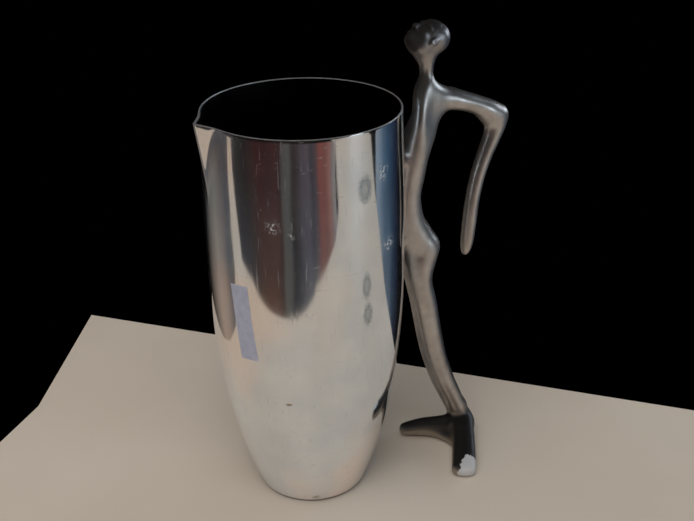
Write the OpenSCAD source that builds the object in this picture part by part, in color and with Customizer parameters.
// Silver water pitcher: a thin tapered metal vessel with a V spout, and a cast standing figure as
// its handle, held by two screws from inside. Millimetres. The origin is the centre of the vessel's
// flat base, +Z is up, the handle is on +X and the spout on -X.

/* [Vessel] */
// Height of the rim above the table
vessel_h = 236; // [225:1:245]
// Outer radius of the rim
rim_r = 54; // [53:0.5:55]
// Largest outer radius of the wall
belly_r = 55.5; // [55:0.1:56]
// Height of the largest radius
belly_z = 150; // [140:1:160]
// Outer radius of the wall's curve where it meets the table
base_r = 32.3; // [30:0.1:36]
// Thickness of the sheet metal wall
wall_t = 1.0; // [0.8:0.1:1.4]
// Thickness of the flat bottom
disc_t = 1.2; // [1:0.1:2]

/* [Spout] */
// How far the spout's tip stands out past the rim
spout_out = 6.5; // [4:0.5:9]
// Half of the angle of rim that the spout takes up
spout_half_angle = 15.5; // [13:0.5:20]
// How far down the wall the spout fades out
spout_drop = 42; // [35:1:60]

/* [Handle fixings] */
// Height of the upper screw
upper_z = 196; // [192:1:199]
// Height of the lower screw
lower_z = 146; // [144:1:149]
// Radius of the screws' shanks
screw_r = 1.95; // [1.9:0.05:2.1]
// Radius of the tapped bores in the casting
tapped_r = 2.0; // [2:0.05:2.15]
// Radius of the lugs of the casting that meet the wall
lug_r = 6; // [5:0.5:7]
// Depth of the tapped bores, from the wall
bore_depth = 14; // [12:1:15]
// Radius of the metal washers
washer_r = 5; // [4.5:0.1:5.5]
// Thickness of the metal washers
washer_t = 0.8; // [0.6:0.1:1]
// Thickness of the soft washers
seal_t = 1.6; // [1.4:0.1:2]
// Radius of the screws' heads
head_r = 3.8; // [3.5:0.1:4.2]
// Height of the screws' heads
head_t = 2.4; // [2:0.1:3]

/* [Label] */
// Width of the adhesive label
label_w = 11.5; // [8:0.5:14]
// Length of the adhesive label
label_l = 45; // [30:1:50]
// Height of the label's middle
label_z = 130; // [120:1:135]
// Direction of the label's middle round the vessel
label_turn = 208; // [195:1:225]
// Lean of the label
label_tilt = 5; // [0:1:10]

/* [Hidden] */

$fn = 96;
silver = [0.78, 0.79, 0.8];
cast_grey = [0.5, 0.48, 0.46];

// Powers of the wall's curve below and above its largest radius
low_power = 2.45;
high_power = 1.9;
// The wall is made of this many bands
wall_bands = 26;
// Radius of the rounded bottom edge, and the width of the rim that the wall stands on
edge_r = 1.2;
stand_w = 0.95;
// Height at which the inside of the wall leaves the bottom's seat
seat_top = 3;
solder_w = 1.8;
label_t = 0.15;
// How far a cutting shape runs past the surface that it cuts
past = 1;

// Sides of each swept limb of the figure, and rings between two of its stations
limb_sides = 14;
limb_steps = 2;

// Stations of the figure: x, y, z, half depth in the limb's own bend, half width across it.
trunk_path = [[76, 0, 255, 6, 6.4], [76.3, 0, 246.5, 4.3, 4.4], [76.3, 0, 241, 4.1, 4.6],
    [76.2, 0, 236, 5, 6.2], [76.2, 0, 230, 6.6, 7.8], [76.2, 0, 224, 7.2, 9],
    [76.1, 0, 217, 8.1, 9.8], [73.6, 0, 210, 9.2, 10.6], [68.6, 0, 198, 9.2, 10.8],
    [66.6, 0, 186, 8.9, 10.2], [64.9, 0, 174, 8.1, 9.8], [65.2, 0, 165, 8.4, 9.9],
    [67.2, 0, 154, 9.6, 10.2], [71.2, 0, 146, 10.8, 10.4], [73.9, 0, 139, 11.6, 10.4],
    [74.6, 0, 132, 11.2, 10.4], [74.6, 0, 123, 8.2, 9.8]];
near_leg_path = [[73.8, -4.2, 129, 8.3, 6], [74, -4.7, 119, 7.3, 6], [77.8, -5, 100, 6.4, 5.6],
    [81.5, -5.3, 81, 6.1, 5.4], [85.8, -5.8, 62, 5.8, 5.2], [92, -6.6, 43, 5.6, 5],
    [98, -7.6, 28, 5.4, 5], [103, -8.4, 13, 5.2, 5.2]];
far_leg_path = [[73.8, 4.2, 129, 8.3, 6], [73.6, 4.7, 119, 7.3, 6], [77, 4.9, 100, 6.3, 5.5],
    [80.5, 4.3, 81, 6, 5.2], [84.6, 3.4, 62, 5.7, 5], [90.6, 2.1, 43, 5.5, 4.8],
    [96.5, 0.4, 28, 5.2, 4.6], [102, -2, 13, 4.8, 4.8]];
arm_path = [[78, 0, 228, 6, 7], [84, 0, 227.5, 7.3, 7.2], [92, 0, 226.3, 6.8, 7],
    [101, 0, 223.6, 6, 6.8], [111, 0, 219.8, 5.8, 6.4], [120.5, 0, 215, 6, 6.2],
    [125, 0, 208.5, 6.4, 5.8], [122, 0, 199, 5.8, 5.4], [117.3, 0, 188, 5.2, 5],
    [113, 0, 175, 4.9, 4.8], [110, 0, 160, 4.8, 4.7], [108.6, 0, 146, 4.8, 4.7],
    [107.4, 0, 133, 4.4, 4.4], [106.3, 0, 125.5, 2.6, 3]];
head_path = [[88.8, 0, 265, 3, 4], [85.8, 0, 264.4, 6.6, 7.4], [80, 0, 263, 8.6, 9],
    [74, 0, 262.3, 8.8, 8.8], [68.5, 0, 262, 7, 7], [64.5, 0, 261.7, 4.8, 5],
    [62, 0, 261.7, 2.4, 3]];
near_foot_path = [[104.8, -3, 12.8, 5, 5.8], [103, -9.5, 10.2, 5.4, 6.4], [98.4, -19, 7.7, 5.6, 6.9],
    [92, -30, 5.8, 5.2, 7.2], [85.4, -41, 4.8, 4.6, 7.2], [80.2, -49.4, 4, 3.9, 6.6],
    [78.8, -51.8, 3.4, 3.2, 5.4]];
far_foot_path = [[103.5, -11, 8, 7, 6.4], [95.5, -8.4, 7.4, 6.8, 6.5], [87.5, -4.8, 6.8, 6.3, 6.3],
    [79.5, -0.6, 6, 5.6, 6], [72.4, 3, 4.9, 4.5, 5.2], [67.4, 4.8, 4.2, 3.4, 4.2]];
nose_middle = [68.6, 0, 269.4];
nose_r = 2.4;

// Outer radius of the wall at a height
function wall_r(z) = z < belly_z
    ? belly_r - (belly_r - base_r) * pow((belly_z - z) / belly_z, low_power)
    : belly_r - (belly_r - rim_r) * pow((z - belly_z) / (vessel_h - belly_z), high_power);
seat_r = wall_r(edge_r) - edge_r - stand_w;
function band_z(i, from) = from + (vessel_h - from) * i / wall_bands;

// A smooth curve through four neighbouring stations, t from 0 to 1 between the middle two
function blend(a, b, c, d, t) = 0.5 * (2 * b + (c - a) * t + (2 * a - 5 * b + 4 * c - d) * t * t
    + (3 * b - a - 3 * c + d) * t * t * t);
function station(path, i) = i < 0 ? 2 * path[0] - path[1]
    : i >= len(path) ? 2 * path[len(path) - 1] - path[len(path) - 2] : path[i];
function smooth(path) = [for (i = [0 : len(path) - 2]) for (k = [0 : limb_steps - 1])
    blend(station(path, i - 1), path[i], path[i + 1], station(path, i + 2), k / limb_steps),
    path[len(path) - 1]];
function spot(s) = [s[0], s[1], s[2]];
function unit(v) = v / norm(v);
function ring(path, i, across) = let (
        from = spot(path[max(i - 1, 0)]),
        to = spot(path[min(i + 1, len(path) - 1)]),
        along = unit(to - from),
        wide = unit(across - along * (across * along)),
        deep = cross(wide, along))
    [for (k = [0 : limb_sides - 1]) spot(path[i])
        + deep * path[i][3] * cos(360 * k / limb_sides)
        + wide * path[i][4] * sin(360 * k / limb_sides)];

// One limb: an oval section swept along its stations, with flat ends
module limb(path, across = [0, 1, 0]) {
    line = smooth(path);
    n = limb_sides;
    last = len(line) - 1;
    points = [for (i = [0 : last]) each ring(line, i, across)];
    sides = [for (i = [0 : last - 1]) for (k = [0 : n - 1]) each [
        [i * n + k, (i + 1) * n + k, i * n + (k + 1) % n],
        [i * n + (k + 1) % n, (i + 1) * n + k, (i + 1) * n + (k + 1) % n]]];
    near_end = [for (k = [0 : n - 1]) k];
    far_end = [for (k = [n - 1 : -1 : 0]) last * n + k];
    polyhedron(points, concat([near_end], sides, [far_end]));
}

// The vessel as a full solid, out to its outer face
module outer_solid(proud = 0) {
    rotate_extrude() polygon(concat(
        [[0, 0]],
        [for (a = [0 : 15 : 90]) [wall_r(edge_r) - edge_r + proud + edge_r * sin(a),
            edge_r * (1 - cos(a))]],
        [for (i = [1 : wall_bands]) [wall_r(band_z(i, edge_r)) + proud, band_z(i, edge_r)]],
        [[0, vessel_h]]));
}

// The space inside the vessel, run past both ends so that it cuts cleanly
module inner_solid() {
    rotate_extrude() polygon(concat(
        [[0, -past], [seat_r, -past], [seat_r, disc_t]],
        [for (i = [0 : wall_bands]) [wall_r(band_z(i, seat_top)) - wall_t, band_z(i, seat_top)]],
        [[rim_r - wall_t, vessel_h + past], [0, vessel_h + past]]));
}

// The wedge of the spout, from its fade-out on the wall up to a height
module spout_wedge(top) {
    low = [0.3 - wall_r(vessel_h - spout_drop), 0, vessel_h - spout_drop];
    corners = [[-rim_r - spout_out, 0, vessel_h],
        [-rim_r * cos(spout_half_angle), rim_r * sin(spout_half_angle), vessel_h],
        [-rim_r * cos(spout_half_angle), -rim_r * sin(spout_half_angle), vessel_h]];
    reach = (top - low[2]) / spout_drop;
    points = concat([low], [for (c = corners) low + (c - low) * reach]);
    polyhedron(points, [[1, 2, 3], [0, 2, 1], [0, 1, 3], [0, 3, 2]]);
}

// A round bar along +X at a height, from one radius out to another
module radial_bar(z, from, to, r) {
    translate([from, 0, z]) rotate([0, 90, 0]) cylinder(r = r, h = to - from);
}

module vessel_wall() {
    hole_r = tapped_r + 0.2;
    spout_shift = wall_t * sqrt(1 + pow((spout_out + rim_r * (1 - cos(spout_half_angle)))
        / (rim_r * sin(spout_half_angle)), 2)) * 0.9;
    color(silver) difference() {
        union() {
            outer_solid();
            spout_wedge(vessel_h);
        }
        inner_solid();
        translate([spout_shift, 0, 0]) spout_wedge(vessel_h + past);
        radial_bar(upper_z, belly_r - 8, belly_r + 2, hole_r);
        radial_bar(lower_z, belly_r - 8, belly_r + 2, hole_r);
    }
}

module base_disc() {
    color(silver) cylinder(r = seat_r, h = disc_t);
}

module base_solder_fillet() {
    color("gray") rotate_extrude() polygon([[seat_r - solder_w, disc_t], [seat_r, disc_t],
        [wall_r(seat_top) - wall_t, seat_top]]);
}

// A lug of the casting, from inside the trunk to the wall
module lug(z) {
    difference() {
        radial_bar(z, belly_r - 3, belly_r + 12, lug_r);
        outer_solid();
    }
}

module tapped_bore(z) {
    radial_bar(z, wall_r(z) - 2, wall_r(z) + bore_depth, tapped_r);
}

module figure_handle() {
    color(cast_grey) difference() {
        union() {
            limb(trunk_path);
            limb(near_leg_path);
            limb(far_leg_path);
            limb(arm_path);
            limb(head_path);
            limb(near_foot_path, [0.87, -0.42, 0]);
            limb(far_foot_path, [0.3, 0.95, 0]);
            translate(nose_middle) sphere(r = nose_r, $fn = 24);
            lug(upper_z);
            lug(lower_z);
        }
        tapped_bore(upper_z);
        tapped_bore(lower_z);
    }
}

// Where the stack of washers and screw head starts, inside the wall
function seal_x(z) = wall_r(z) - wall_t - seal_t;

module handle_screw(z) {
    recess_r = 1.45;
    recess_t = 1.3;
    seat = seal_x(z) - washer_t;
    color("silver") difference() {
        union() {
            translate([seat, 0, z]) rotate([0, -90, 0]) rotate_extrude() polygon(concat(
                [[0, 0], [head_r, 0], [head_r, head_t * 0.4]],
                [for (a = [15 : 15 : 75]) [head_r * cos(a), head_t * (0.4 + 0.6 * sin(a))]],
                [[0, head_t]]));
            radial_bar(z, seat - head_t / 2, wall_r(z) + bore_depth - 2, screw_r);
        }
        translate([seat - head_t - past, 0, z]) rotate([0, 90, 0])
            cylinder(r = recess_r, h = recess_t + past, $fn = 6);
    }
}

module backing_washer(z) {
    color("silver") difference() {
        radial_bar(z, seal_x(z) - washer_t, seal_x(z), washer_r);
        radial_bar(z, seal_x(z) - washer_t - past, seal_x(z) + past, tapped_r + 0.1);
    }
}

module sealing_washer(z) {
    color("black") difference() {
        intersection() {
            radial_bar(z, seal_x(z), belly_r + 2, washer_r + 0.5);
            inner_solid($fn = 480);
        }
        radial_bar(z, seal_x(z) - past, belly_r + 4, tapped_r + 0.1);
    }
}

module blank_label() {
    color("white") intersection() {
        difference() {
            outer_solid(label_t);
            outer_solid();
        }
        rotate([0, 0, label_turn]) translate([belly_r, 0, label_z]) rotate([label_tilt, 0, 0])
            cube([20, label_w, label_l], center = true);
    }
}

vessel_wall();
base_disc();
base_solder_fillet();
figure_handle();
handle_screw(upper_z);  // upper_screw
handle_screw(lower_z);  // lower_screw
backing_washer(upper_z);  // upper_backing_washer
backing_washer(lower_z);  // lower_backing_washer
sealing_washer(upper_z);  // upper_sealing_washer
sealing_washer(lower_z);  // lower_sealing_washer
blank_label();
